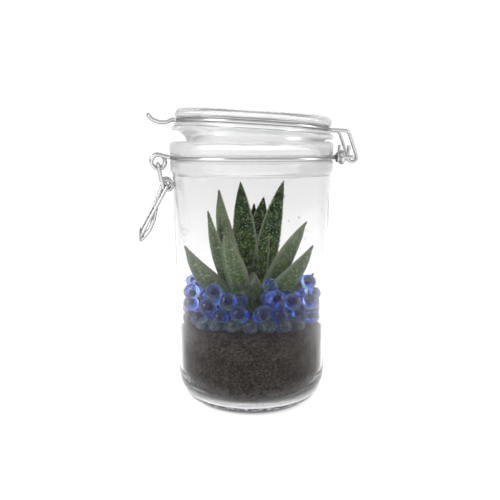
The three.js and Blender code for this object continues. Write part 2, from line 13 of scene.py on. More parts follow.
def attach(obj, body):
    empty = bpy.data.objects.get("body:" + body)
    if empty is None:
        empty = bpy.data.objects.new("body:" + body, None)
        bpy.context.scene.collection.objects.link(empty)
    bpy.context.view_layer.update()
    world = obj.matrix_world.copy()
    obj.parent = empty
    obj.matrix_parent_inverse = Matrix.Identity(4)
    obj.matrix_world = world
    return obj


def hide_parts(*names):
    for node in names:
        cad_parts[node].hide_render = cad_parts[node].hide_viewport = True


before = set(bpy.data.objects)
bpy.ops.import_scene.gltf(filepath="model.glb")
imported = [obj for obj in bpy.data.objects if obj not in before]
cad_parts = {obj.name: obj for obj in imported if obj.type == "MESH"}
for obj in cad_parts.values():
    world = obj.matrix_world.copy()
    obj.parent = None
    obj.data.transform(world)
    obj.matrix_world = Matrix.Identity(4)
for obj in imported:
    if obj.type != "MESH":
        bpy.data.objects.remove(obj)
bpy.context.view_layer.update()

MM = 0.001

# Jar
FOOT_RADIUS = 41.0
HEEL_HEIGHT = 21.0
BODY_RADIUS_LOW = 52.2
BODY_RADIUS_HIGH = 53.0
SHOULDER_Z = 156.5
NECK_RADIUS = 54.5
RIM_Z = 177.5
WALL = 2.0
FLOOR_Z = 4.0
INNER_FLOOR_RADIUS = 34.0
MOUTH_RADIUS = 46.0
GAP = 0.3
ROUND_STEPS = 144

# Wires
NECK_WIRE = 1.15
LID_WIRE = 1.1
LEVER_WIRE = 1.1
BAIL_WIRE = 1.0
WIRE_SIDES = 14
BEND_STEP_DEG = 10
END_LIFT = 0.25
END_SHARE = 0.7
NECK_WIRE_Z = 167.2
NECK_WIRE_RING = 54.95
HINGE_X = 67.5
HINGE_LOOP_HALF = 13.5
HOOK_HALF = 10.0
HOOK_RADIUS = 3.1
HOOK_TAIL = 7.4
COIL_STEPS = 40
HOOK_STEPS = 24
COLLAR_X = 55.2
COLLAR_BORE = NECK_WIRE + 0.12
LID_AJAR_DEG = 3.4

# The lid wire's nose, as (x, how far inwards, height over the groove, bend)
NOSE_HALF = 6.0
NOSE_ROUTE = (
    (-53.6, 0, 0, 1.5),
    (-57.5, 0, -2.0, 3),
    (-62, 0.4, -2.1, 4),
    (-66.4, 0.8, -0.6, 4),
    (-69, 1.2, 2, 3),
)

# Lid, measured up from the underside of its lip
LIP_Z = 180.7
LIP_RADIUS = 52.0
LID_TOP = 10.8
LID_GROOVE_Z = 3.5
LID_GROOVE_RADIUS = 49.5
PLUG_RADIUS = 43.6
PLUG_DEPTH = 10.2
MILL_BAND = (46.0, 50.6)
MILL_LIFT = 0.1
GASKET_THICK = 2.6
GASKET_OUTER = 53.6
GASKET_INNER = 49.5

# Latch, as (x, z) of each pivot
EYE = (-62.2, 164.8)
EYE_RADIUS = 4.45
LEVER_PIVOT = (-62.4, 163.1)
LEVER_COIL = (-57.0, 150.2)
COIL_RADIUS = 3.1
BAIL_PIVOT = (-57.2, 149.8)
BAIL_END = (-75.7, 117.3)

# The lever's near side below its coil, as (x, y, z, bend)
LEVER_HANDLE = (
    (-63.4, -9.9, 141.9, 6),
    (-65.2, -9.5, 132.8, 6),
    (-66.4, -9.2, 127.5, 3),
    (-69.9, -8.6, 120, 4),
    (-75.6, -7.4, 113.6, 5),
)

# Planting
BED_RADIUS = BODY_RADIUS_LOW - WALL - GAP
SOIL_GAP = 0.08
SOIL_RADIUS = BODY_RADIUS_LOW - WALL - SOIL_GAP
SOIL_EDGE_Z = 50.5
SOIL_CROWN = 3.5
SOIL_SLOPE = 0.155
LUMP_SCALE = 0.9
LUMP_HEIGHT = 1.1
BEAD_RADIUS = 5.3
STEM_RADIUS = 8.0
CROWN_Z = 60.0
CROWN_RADIUS = 4.0

# The camera looks from the -Y side, turned this far about the jar's axis
VIEW_TURN = math.radians(-10)

# Camera, fitted to the photograph's ellipses and outline
CAMERA_DISTANCE = 420.0
CAMERA_HEIGHT = 179.3
CAMERA_PITCH = 0.235
FOCAL_PIXELS = 611.0
CENTRE_PIXEL = (251.4, 285.0)
IMAGE_PIXELS = 500.0
SENSOR_MM = 36.0

# Glass: the share of glare kept, low enough for the planting to show through, and the neck's blur
GLASS_IOR = 1.47
GLASS_GLARE = 0.15
NECK_SOFTNESS = 0.2
GLASS_WAVE = 0.0003

# Glass seen nearly edge-on: how light it stays, and how much it clouds
GRAZING_SHADE = 0.8
GRAZING_HAZE = 0.02

# Heights are turned into shares of this one before they reach a ramp
HEIGHT_SCALE = 210.0

# Bands up the jar, as (z, strength): damp soil on the inner wall, pebbled heel, dark marks at the foot
WET_BAND = ((16.0, 0.0), (26.0, 1.0), (40.0, 1.0), (56.0, 0.0))
WET_SHARE = 0.97
HEEL_GRAIN = ((7.6, 0.0), (8.4, 1.0), (11.5, 1.0), (15.0, 0.0))
FOOT_MARKS = ((3.6, 0.0), (4.2, 1.0), (6.8, 1.0), (7.3, 0.0))
FOOT_MARK_COLOUR = (0.004, 0.006, 0.02)

# The lid's clear middle ends between these radii, where its softer rim begins
LID_CLEAR_TO = (39.0, 42.0)
LID_MIDDLE_SHARE = 0.1

# Colours of soil, from its hollows to its high grains, and of its pale bits
SOIL_COLOURS = ((0.006, 0.005, 0.004), (0.034, 0.027, 0.024), (0.13, 0.11, 0.1))
SOIL_BIT_COLOUR = (0.22, 0.19, 0.16)

# Leaf markings, and how many fine dots there are to a coarse one along a line
DOT_COLOUR = (0.46, 0.6, 0.31)
PATCH_COLOUR = (0.04, 0.12, 0.005)
SUNLIT_COLOUR = (0.17, 0.26, 0.02)
TIP_COLOUR = (0.09, 0.07, 0.045)
KEEL_COLOUR = (0.34, 0.38, 0.28)
MARGIN_COLOUR = (0.5, 0.55, 0.43)
FINE_DOTS = 1.9
LEAF_MASKS = "leaf_masks"

# Studio brightness: in front of the object, behind and above it, and the floor's own glow
STUDIO_FRONT = 0.86
STUDIO_BACK = 1.03
STUDIO_LIFT = 0.55
STUDIO_FADE = 0.35
FLOOR_HALF = 6.0
FLOOR_GLOW = 0.17
FLOOR_GLOW_NEAR = 0.42
GLOW_REACH = (200.0, 600.0)

# Lamps, as (name, place, size, power), with lengths in metres
LAMPS = (
    ("key", (-0.9, -0.35, 0.7), (0.5, 0.9), 9),
    ("fill", (0.95, -0.2, 0.5), (0.4, 0.9), 5),
)
LAMP_TARGET = (0, 0, 0.1)


# Mesh helpers


def mesh_piece(name, verts, faces, body, material, replaces, slot):
    """A mesh from points in millimetres, riding on a body, with the nodes that it replaces. Its slot is not
    used.
    """
    mesh = bpy.data.meshes.new(name)
    mesh.from_pydata([tuple(c * MM for c in v) for v in verts], [], faces)
    mesh.validate()
    mesh.update()
    mesh.polygons.foreach_set("use_smooth", [True] * len(mesh.polygons))
    mesh.materials.append(material)
    piece = bpy.data.objects.new(name, mesh)
    bpy.context.scene.collection.objects.link(piece)
    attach(piece, body)
    if replaces:
        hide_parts(*replaces)
    return piece


def from_view(right, back):
    """x and y of a place given as seen in the front view."""
    c, s = math.cos(VIEW_TURN), math.sin(VIEW_TURN)
    return right * c - back * s, right * s + back * c


def lathe(profile, steps=ROUND_STEPS, ripple=None):
    """Turns a list of (radius, z) about the Z axis. A radius of zero makes a single point."""
    verts, faces, rings = [], [], []
    for radius, z in profile:
        if radius < 1e-6:
            rings.append([len(verts)])
            verts.append((0, 0, z))
            continue
        start = len(verts)
        for i in range(steps):
            angle = 2 * math.pi * i / steps
            r, height = (radius, z) if ripple is None else ripple(radius, z, angle)
            verts.append((r * math.cos(angle), r * math.sin(angle), height))
        rings.append(list(range(start, start + steps)))
    for low, high in zip(rings, rings[1:]):
        for i in range(steps):
            j = (i + 1) % steps
            corners = (low[i % len(low)], low[j % len(low)], high[j % len(high)], high[i % len(high)])
            faces.append(tuple(dict.fromkeys(corners)))
    return verts, faces


def skin(rings, sides, closed=False):
    """Quads between successive rings of points, and back to the first ring where it closes."""
    faces = []
    for i in range(rings if closed else rings - 1):
        here, there = i * sides, (i + 1) % rings * sides
        for s in range(sides):
            t = (s + 1) % sides
            faces.append((here + s, here + t, there + t, there + s))
    return faces


def sphere(centre, radius, turns=18, rows=12):
    angles = [math.pi * i / rows for i in range(rows + 1)]
    verts, faces = lathe([(radius * math.sin(a), -radius * math.cos(a)) for a in angles], turns)
    cx, cy, cz = centre
    return [(cx + x, cy + y, cz + z) for x, y, z in verts], faces


def gathered(parts):
    """Many small meshes as one."""
    verts, faces = [], []
    for part_verts, part_faces in parts:
        offset = len(verts)
        verts += part_verts
        faces += [tuple(i + offset for i in face) for face in part_faces]
    return verts, faces


def rounded(points, radius=0.5, steps=4):
    """A profile with each inner corner rounded off."""
    made = [points[0]]
    for before, corner, after in zip(points, points[1:], points[2:]):
        b, c, a = Vector(before), Vector(corner), Vector(after)
        reach = min(radius, 0.45 * (b - c).length, 0.45 * (a - c).length)
        start = c + (b - c).normalized() * reach
        end = c + (a - c).normalized() * reach
        for i in range(steps + 1):
            t = i / steps
            made.append(tuple(start.lerp(c, t).lerp(c.lerp(end, t), t)))
    made.append(points[-1])
    return made


def refined(points, step=5.0, margin=0.25):
    """A profile with rings close to both ends of each long stretch, so that it shades flat."""
    made = [points[0]]
    for here, there in zip(points, points[1:]):
        a, b = Vector(here), Vector(there)
        length = (b - a).length
        if length > 4 * margin:
            count = max(1, math.ceil(length / step))
            shares = [margin / length, *[i / count for i in range(1, count)], 1 - margin / length]
            made += [tuple(a.lerp(b, share)) for share in shares]
        made.append(there)
    return made


def heel_curve(r0, z0, r1, z1, steps=20):
    """A quarter of an ellipse from (r0, z0) outwards and up to (r1, z1)."""
    points = []
    for i in range(steps + 1):
        a = i / steps * math.pi / 2
        points.append((r0 + (r1 - r0) * math.sin(a), z1 - (z1 - z0) * math.cos(a)))
    return points


# Wire routes


def rounded_corner(before, corner, after, radius):
    """Points round a bend in a route, from where it leaves one straight to where it joins the next."""
    incoming = (corner - before).normalized()
    outgoing = (after - corner).normalized()
    turn = incoming.angle(outgoing, 0.0)
    setback = radius * math.tan(turn / 2)
    start = corner - incoming * setback
    end = corner + outgoing * setback
    steps = max(2, math.ceil(turn / math.radians(BEND_STEP_DEG)))
    shares = [i / steps for i in range(steps + 1)]
    return [start.lerp(corner, t).lerp(corner.lerp(end, t), t) for t in shares]


def route_points(route):
    """A route is a list of (x, y, z) or (x, y, z, corner radius)."""
    places = [Vector(p[:3]) for p in route]
    points = []
    for i, p in enumerate(route):
        if len(p) == 4:
            points += rounded_corner(places[i - 1], places[i], places[i + 1], p[3])
        else:
            points.append(places[i])
    return points


def with_mirror(half, closed):
    """A wire's near half, followed by its mirror image on the far side."""
    far = [Vector((p.x, -p.y, p.z)) for p in reversed(half)]
    return half + (far[1:-1] if closed else far[1:])


def coil(centre, radius, from_deg, to_deg, from_y, to_y, steps):
    """A turn about a pivot (x, z) that drifts along Y."""
    points = []
    for i in range(steps + 1):
        t = i / steps
        a = math.radians(from_deg + (to_deg - from_deg) * t)
        x = centre[0] + radius * math.cos(a)
        z = centre[1] + radius * math.sin(a)
        points.append((x, from_y + (to_y - from_y) * t, z))
    return points


def ring_x(radius, y):
    """How far out in X a ring about the jar's axis is, at a given y."""
    return math.sqrt(radius * radius - y * y)


def half_ring(radius, z, rear_y, front_y, steps=60):
    """The near half of a ring round the jar, without its two ends, from the hinge side to the latch side."""
    start = -math.asin(-rear_y / radius)
    end = -math.pi + math.asin(-front_y / radius)
    angles = [start + (end - start) * i / steps for i in range(1, steps)]
    return [(radius * math.cos(a), radius * math.sin(a), z) for a in angles]


def tube(points, radius, closed=False, sides=WIRE_SIDES):
    """A round wire along the points, with a slightly domed end unless it closes on itself."""
    count = len(points)

    def at(i):
        return points[i % count] if closed else points[max(0, min(count - 1, i))]

    tangents = [(at(i + 1) - at(i - 1)).normalized() for i in range(count)]
    reference = Vector((1, 0, 0)) if abs(tangents[0].z) > 0.9 else Vector((0, 0, 1))
    normals = [reference.cross(tangents[0]).normalized()]
    for tangent in tangents[1:]:
        last = normals[-1]
        normals.append((last - tangent * last.dot(tangent)).normalized())
    twist = 0.0
    if closed:
        back = (normals[-1] - tangents[0] * normals[-1].dot(tangents[0])).normalized()
        twist = math.atan2(back.cross(normals[0]).dot(tangents[0]), back.dot(normals[0]))
    rings = []
    for i, point in enumerate(points):
        side = Matrix.Rotation(twist * i / count, 3, tangents[i]) @ normals[i]
        rings.append((point, tangents[i], side, radius))
    if not closed:
        point, tangent, side, r = rings[0]
        lead = [(point - tangent * r * END_LIFT, tangent, side, r * END_SHARE)]
        point, tangent, side, r = rings[-1]
        rings = lead + rings + [(point + tangent * r * END_LIFT, tangent, side, r * END_SHARE)]
    verts = []
    for point, tangent, side, r in rings:
        up = tangent.cross(side)
        for s in range(sides):
            a = 2 * math.pi * s / sides
            verts.append(tuple(point + side * (r * math.cos(a)) + up * (r * math.sin(a))))
    faces = skin(len(rings), sides, closed)
    if not closed:
        faces.append(tuple(reversed(range(sides))))
        faces.append(tuple(range(len(verts) - sides, len(verts))))
    return verts, faces


def turned_about_hinge(verts):
    """Lid pieces are drawn closed and turned open about the hinge."""
    a = math.radians(LID_AJAR_DEG)
    c, s = math.cos(a), math.sin(a)
    made = []
    for x, y, z in verts:
        dx, dz = x - HINGE_X, z - NECK_WIRE_Z
        made.append((HINGE_X + dx * c + dz * s, y, NECK_WIRE_Z - dx * s + dz * c))
    return made


# Materials


class Nodes:
    """A short way to wire up a procedural material."""

    def __init__(self, name):
        self.material = bpy.data.materials.new(name)
        self.material.use_nodes = True
        self.tree = self.material.node_tree
        self.shader = self.tree.nodes["Principled BSDF"]

    def add(self, kind, **inputs):
        node = self.tree.nodes.new(kind)
        for key, value in inputs.items():
            node.inputs[key.replace("_", " ")].default_value = value
        return node

    def link(self, source, target):
        self.tree.links.new(source, target)

    def feed(self, socket, value):
        """Links what another node makes, or sets a number or a colour on the socket itself."""
        if isinstance(value, bpy.types.NodeSocket):
            self.link(value, socket)
        elif isinstance(value, tuple):
            socket.default_value = (*value, 1.0)
        else:
            socket.default_value = value

    def set(self, **values):
        """Feeds the shader's sockets by name."""
        for key, value in values.items():
            self.feed(self.shader.inputs[key.replace("_", " ")], value)

    def scaled(self, vector, scale):
        node = self.add("ShaderNodeMapping", Scale=scale)
        self.link(vector, node.inputs["Vector"])
        return node.outputs["Vector"]

    def place(self):
        """Object coordinates in millimetres."""
        return self.scaled(self.add("ShaderNodeTexCoord").outputs["Object"], (1 / MM,) * 3)

    def length(self, vector):
        node = self.add("ShaderNodeVectorMath")
        node.operation = "LENGTH"
        self.link(vector, node.inputs[0])
        return node.outputs["Value"]

    def facing(self, blend=0.5):
        """0 where the surface is seen square on, 1 at its edge."""
        return self.add("ShaderNodeLayerWeight", Blend=blend).outputs["Facing"]

    def noise(self, vector, scale, detail=3.0, roughness=0.5):
        node = self.add("ShaderNodeTexNoise", Scale=scale, Detail=detail, Roughness=roughness)
        self.link(vector, node.inputs["Vector"])
        return node.outputs["Fac"]

    def speckles(self, vector, scale, full, gone):
        """Round dots, one in each cell: whole up to one distance and gone at another."""
        cells = self.add("ShaderNodeTexVoronoi", Scale=scale, Randomness=1.0)
        self.link(vector, cells.inputs["Vector"])
        return self.greys(cells.outputs["Distance"], (full, 1.0), (gone, 0.0))

    def ramp(self, value, stops):
        """Colours along a value, as (position, colour)."""
        node = self.add("ShaderNodeValToRGB")
        elements = node.color_ramp.elements
        while len(elements) < len(stops):
            elements.new(0.5)
        for element, (position, colour) in zip(elements, stops):
            element.position = position
            element.color = (*colour, 1.0)
        self.link(value, node.inputs["Fac"])
        return node.outputs["Color"]

    def greys(self, value, *stops):
        """Greys along a value, as (position, grey)."""
        return self.ramp(value, [(position, (grey,) * 3) for position, grey in stops])

    def maths(self, operation, first, second):
        node = self.add("ShaderNodeMath")
        node.operation = operation
        self.feed(node.inputs[0], first)
        self.feed(node.inputs[1], second)
        return node.outputs["Value"]

    def product(self, first, second):
        return self.maths("MULTIPLY", first, second)

    def mix(self, factor, first, second, blend="MIX"):
        node = self.add("ShaderNodeMix")
        node.data_type = "RGBA"
        node.blend_type = blend
        self.feed(node.inputs["Factor"], factor)
        self.feed(node.inputs[6], first)
        self.feed(node.inputs[7], second)
        return node.outputs[2]

    def shaded(self, colour, shade, factor=1.0):
        """One colour multiplied by another, as far as the factor goes."""
        return self.mix(factor, colour, shade, "MULTIPLY")

    def bump(self, height, strength, distance):
        node = self.add("ShaderNodeBump", Strength=strength, Distance=distance)
        self.link(height, node.inputs["Height"])
        self.set(Normal=node.outputs["Normal"])


def from_axis(n, place):
    """Distance from the jar's axis in millimetres."""
    return n.length(n.scaled(place, (1, 1, 0)))


def by_height(n, share, stops):
    """A value that changes with height; each stop is (z in millimetres, value)."""
    return n.greys(share, *[(z / HEIGHT_SCALE, value) for z, value in stops])


def wet_inside(n, place, share, facing):
    """Damp soil clings to the inside of the wall there, so that face hardly mirrors, except near the edge."""
    inside = n.maths("LESS_THAN", from_axis(n, place), BODY_RADIUS_LOW - WALL / 2)
    square_on = n.greys(facing, (0.225, WET_SHARE), (0.265, 0.0))
    damp = n.product(n.product(inside, by_height(n, share, WET_BAND)), square_on)
    return n.maths("SUBTRACT", 1.0, damp)


def glass_material(name, bands, jar=False):
    """Clear glass. Each band (z, tint, haze, softness) says how it changes with height.

    The jar also has a damp band, a pebbled heel and marks round its foot, and the lid has a clearer middle.
    """
    n = Nodes(name)
    place = n.place()
    split = n.add("ShaderNodeSeparateXYZ")
    n.link(place, split.inputs["Vector"])
    share = n.product(split.outputs["Z"], 1 / HEIGHT_SCALE)
    facing = n.facing()
    tint, haze, softness = [by_height(n, share, [(band[0], band[k]) for band in bands]) for k in (1, 2, 3)]
    colour = n.shaded(tint, n.greys(facing, (0.5, 1.0), (0.9, GRAZING_SHADE)))
    height = n.noise(place, 0.06, 2.0)
    if jar:
        n.set(Alpha=wet_inside(n, place, share, facing))
        heel = by_height(n, share, HEEL_GRAIN)
        colour = n.shaded(colour, n.greys(n.noise(place, 2.0, 2.0), (0.42, 0.4), (0.58, 1.0)), heel)
        marks = n.ramp(n.noise(place, 0.45, 1.0), [(0.51, FOOT_MARK_COLOUR), (0.57, (0.7,) * 3)])
        colour = n.shaded(colour, marks, by_height(n, share, FOOT_MARKS))
        pebbled = n.product(heel, n.noise(place, 1.3, 2.0))
        height = n.maths("ADD", height, n.product(pebbled, 0.5))
    else:
        within, beyond = [radius / HEIGHT_SCALE for radius in LID_CLEAR_TO]
        out = n.product(from_axis(n, place), 1 / HEIGHT_SCALE)
        rim = n.greys(out, (within, LID_MIDDLE_SHARE), (beyond, 1.0))
        haze = n.product(haze, rim)
        softness = n.product(softness, rim)
    clear = n.maths("SUBTRACT", 1.0, haze)
    grazing = n.greys(facing, (0.6, 1.0), (0.95, 1 - GRAZING_HAZE))
    n.set(Base_Color=colour, Transmission_Weight=n.product(clear, grazing), Roughness=softness)
    n.set(IOR=GLASS_IOR, Specular_Tint=(GLASS_GLARE,) * 3)
    flow = n.scaled(place, (0.02, 0.02, 1.1))
    streaks = n.product(n.noise(flow, 1.0, 2.0), n.product(softness, 5.0))
    n.bump(n.maths("ADD", height, streaks), 0.35, GLASS_WAVE)
    return n.material


def steel_material(name, bright, dark):
    """Drawn wire, with fine draw marks, and a painted highlight along its middle and painted shade towards
    both edges, by how square on it is seen.
    """
    n = Nodes(name)
    place = n.place()
    # Painted highlight and painted shade: the bright colour where the wire is seen square on, fading to the
    # dark colour at its edges
    across = n.ramp(n.facing(), [(0.05, bright), (0.4, tuple(0.6 * c for c in bright)), (0.75, dark)])
    marks = n.greys(n.noise(place, 0.9, 4.0), (0.3, 0.9), (0.7, 1.0))
    rough = n.greys(n.noise(place, 3.5, 3.0), (0.3, 0.12), (0.75, 0.26))
    n.set(Base_Color=n.shaded(across, marks), Metallic=1.0, Roughness=rough)
    n.bump(n.noise(place, 2.2, 3.0), 0.08, 0.0001)
    return n.material


def rubber_material():
    """Clear silicone, a little uneven in tone."""
    n = Nodes("seal_silicone")
    colour = n.ramp(n.noise(n.place(), 0.2, 3.0), [(0.3, (0.84, 0.85, 0.85)), (0.7, (0.92, 0.93, 0.93))])
    n.set(Base_Color=colour, Roughness=0.15, Transmission_Weight=0.8, IOR=1.41)
    n.bump(n.noise(n.place(), 2.0, 3.0), 0.2, 0.0001)
    return n.material


def soil_material():
    """Dark soil: two sizes of grain, broad damp patches and a few pale bits."""
    n = Nodes("potting_soil")
    place = n.place()
    middle = n.noise(place, 0.9, 4.0, 0.65)
    fine = n.noise(place, 3.2, 3.0, 0.7)
    grain = n.maths("ADD", n.product(middle, 0.55), n.product(fine, 0.45))
    base = n.ramp(grain, list(zip((0.42, 0.5, 0.58), SOIL_COLOURS)))
    broad = n.ramp(n.noise(place, 0.07, 4.0), [(0.35, (0.72, 0.67, 0.65)), (0.65, (1.08, 1.07, 1.06))])
    picks = n.greys(n.noise(place, 0.45, 2.0), (0.58, 0.0), (0.64, 1.0))
    bits = n.product(n.speckles(place, 0.5, 0.1, 0.22), picks)
    colour = n.mix(bits, n.shaded(base, broad), SOIL_BIT_COLOUR)
    n.set(Base_Color=colour, Roughness=0.95, Specular_IOR_Level=0.15)
    n.bump(grain, 0.6, 0.0003)
    return n.material


def gel_material(name, tint, rim, clarity, rough, cloudy):
    """Clear gel whose tint turns to the rim colour where it is seen edge-on, a painted highlight round the
    blue beads; cloudy is how dark its murky patches are.
    """
    n = Nodes(name)
    # Painted highlight: the rim colour takes over where the bead is seen edge-on
    body = n.mix(n.facing(0.3), tint, rim)
    murk = n.greys(n.noise(n.place(), 0.3, 4.0, 0.6), (0.42, 1 - cloudy), (0.56, 1.0))
    n.set(Base_Color=n.shaded(body, murk), Roughness=rough, IOR=1.335, Transmission_Weight=clarity)
    n.bump(n.noise(n.place(), 0.35, 2.0), 0.25, 0.0002)
    return n.material


def drop_material():
    n = Nodes("water_drop")
    tone = n.greys(n.noise(n.place(), 0.5, 2.0), (0.3, 0.7), (0.7, 0.9))
    n.set(Base_Color=tone, Roughness=0.02, IOR=1.33, Transmission_Weight=0.9)
    n.bump(n.noise(n.place(), 1.0, 2.0), 0.2, 0.0001)
    return n.material


def dark_refraction_material(name, edge, middle):
    """A painted dark refraction: a small dark ball inside a bead that stands for the dark surroundings the
    gel bends into view, with painted shade darkest round its edge.
    """
    n = Nodes(name)
    # Painted shade, darker round the edge of the ball than in its middle
    refraction_tone = n.ramp(n.facing(), [(0.1, middle), (0.5, edge)])
    cloud = n.greys(n.noise(n.place(), 0.25, 2.0), (0.35, 0.6), (0.65, 1.0))
    n.set(Base_Color=n.shaded(refraction_tone, cloud), Roughness=0.6, Specular_IOR_Level=0.05)
    n.bump(n.noise(n.place(), 0.6, 2.0), 0.2, 0.0002)
    return n.material


def leaf_material(name, upper, lower, dot_scale, dots=(0.62, 0.2)):
    """A speckled leaf; dots is how strong its pale dots are on the upper face and on the underside.

    UV runs across the leaf in u and along it in v, both in millimetres. The mask attribute holds how far
    along a place is, how near the margin, and whether it is on the underside.
    """
    n = Nodes(name)
    uv = n.add("ShaderNodeTexCoord").outputs["UV"]
    masks = n.add("ShaderNodeVertexColor")
    masks.layer_name = LEAF_MASKS
    split = n.add("ShaderNodeSeparateColor")
    n.link(masks.outputs["Color"], split.inputs["Color"])
    along, edge, under = (split.outputs[k] for k in ("Red", "Green", "Blue"))
    streaks = n.noise(n.scaled(uv, (0.5, 0.035, 1.0)), 1.0, 3.0)
    lines = n.ramp(streaks, [(0.3, (0.72, 0.72, 0.72)), (0.7, (1.1, 1.12, 1.06))])
    face = n.shaded(n.mix(under, upper, lower), lines)
    patch = n.product(n.greys(along, (0.3, 1.0), (0.8, 0.0)),
                      n.greys(n.noise(uv, 0.1, 2.0), (0.42, 0.0), (0.58, 1.0)))
    face = n.mix(n.product(patch, 0.7), face, PATCH_COLOUR)
    sunlit = n.product(n.greys(along, (0.3, 1.0), (0.56, 0.0)),
                       n.greys(n.noise(uv, 0.16, 2.0), (0.48, 0.0), (0.6, 1.0)))
    face = n.mix(n.product(sunlit, 0.6), face, SUNLIT_COLOUR)
    tip = n.greys(along, (0.86, 0.0), (1.0, 1.0))
    face = n.mix(n.product(tip, 0.5), face, TIP_COLOUR)
    above, below = dots
    shown = n.greys(under, (0.0, above), (1.0, below))
    chosen = n.greys(n.noise(uv, 0.5, 2.0), (0.35, 0.3), (0.55, 1.0))
    coarse = n.speckles(uv, dot_scale, 0.18, 0.38)
    fine = n.speckles(uv, FINE_DOTS * dot_scale, 0.18, 0.48)
    strength = n.product(n.maths("MAXIMUM", coarse, n.product(fine, 0.65)), chosen)
    face = n.mix(n.product(strength, shown), face, DOT_COLOUR)
    keel = n.product(n.greys(edge, (0.02, 0.4), (0.1, 0.0)), under)
    face = n.mix(keel, face, KEEL_COLOUR)
    margin = n.greys(edge, (0.82, 0.0), (0.95, 1.0))
    face = n.mix(n.product(margin, 0.6), face, MARGIN_COLOUR)
    n.set(Base_Color=face, Roughness=0.55, Specular_IOR_Level=0.1)
    n.set(Subsurface_Weight=0.08, Subsurface_Scale=0.002)
    n.bump(n.maths("ADD", n.product(strength, 0.7), n.noise(uv, 1.2, 3.0)), 0.6, 0.0005)
    return n.material


def floor_material():
    """A white floor that glows a little, most of all near the object, so that it stays white."""
    n = Nodes("pale_floor")
    place = n.place()
    colour = n.greys(n.noise(place, 0.01, 2.0), (0.3, 0.9), (0.7, 0.93))
    near, far = GLOW_REACH
    away = n.product(n.length(place), 1 / far)
    glow = n.greys(away, (near / far, FLOOR_GLOW_NEAR), (1.0, FLOOR_GLOW))
    n.set(Base_Color=colour, Roughness=0.9, Specular_IOR_Level=0.1)
    n.set(Emission_Color=(1, 1, 1), Emission_Strength=glow)
    return n.material


JAR_BANDS = [
    (0.0, 0.93, 0.1, 0.0), (6.6, 0.93, 0.15, 0.0), (7.2, 0.96, 0.5, 0.0), (7.8, 0.96, 0.5, 0.0),
    (8.6, 0.93, 0.34, 0.0), (11.0, 0.92, 0.3, 0.0), (13.0, 0.92, 0.04, 0.0), (16.0, 0.89, 0.0, 0.0),
    (60.0, 0.86, 0.0, 0.0), (SHOULDER_Z - 1.0, 0.86, 0.0, 0.0),
    (SHOULDER_Z + 1.5, 0.96, 0.22, NECK_SOFTNESS), (NECK_WIRE_Z, 0.92, 0.2, NECK_SOFTNESS),
    (RIM_Z - 5.0, 0.92, 0.2, NECK_SOFTNESS), (RIM_Z - 2.0, 0.98, 0.26, NECK_SOFTNESS),
]
LID_BANDS = [
    (LIP_Z - PLUG_DEPTH, 0.97, 0.34, 1.1 * NECK_SOFTNESS),
    (LIP_Z, 0.96, 0.28, NECK_SOFTNESS),
    (LIP_Z + LID_TOP, 0.96, 0.2, NECK_SOFTNESS),
]
JAR_GLASS = glass_material("clear_glass", JAR_BANDS, jar=True)
LID_GLASS = glass_material("clear_lid_glass", LID_BANDS)
# The bright and dark colours of both steels are a painted highlight and a painted edge shade
WIRE = steel_material("steel_wire", bright=(0.57, 0.575, 0.58), dark=(0.09, 0.09, 0.095))
BUSH = steel_material("bush_steel", bright=(0.58, 0.585, 0.59), dark=(0.05, 0.05, 0.055))
SEAL = rubber_material()
SOIL = soil_material()
# The blue gel's pale rim colour is a painted highlight
BLUE_GEL = gel_material(
    "blue_gel", tint=(0.24, 0.42, 1.0), rim=(0.86, 0.92, 1.0), clarity=0.972, rough=0.02, cloudy=0.1)
# Painted shade: a greyer, murkier copy of the blue gel for the beads sunk in the soil, standing for the light
# that the soil round them keeps out
SHADED_GEL = gel_material(
    "teal_gel", tint=(0.5, 0.6, 0.62), rim=(0.5, 0.58, 0.58), clarity=0.88, rough=0.12, cloudy=0.35)
# Painted dark refractions for the blue beads and for the sunk beads
BLUE_DARK_REFRACTION = dark_refraction_material("blue_dark_refraction", edge=(0.002, 0.003, 0.03), middle=(0.02, 0.008, 0.07))
SHADED_DARK_REFRACTION = dark_refraction_material("shaded_dark_refraction", edge=(0.005, 0.02, 0.025), middle=(0.01, 0.03, 0.035))
DROP = drop_material()
LEAF = leaf_material("leaf_green", (0.003, 0.022, 0.001), (0.148, 0.188, 0.117), 0.6, (0.85, 0.7))
SHADED_LEAF = leaf_material(
    "shaded_leaf_green", (0.004, 0.014, 0.003), (0.02, 0.034, 0.016), 0.62, (0.12, 0.2))
STEM = leaf_material("stem_green", (0.08, 0.1, 0.055), (0.09, 0.105, 0.065), 0.6)


# Glass jar and lid


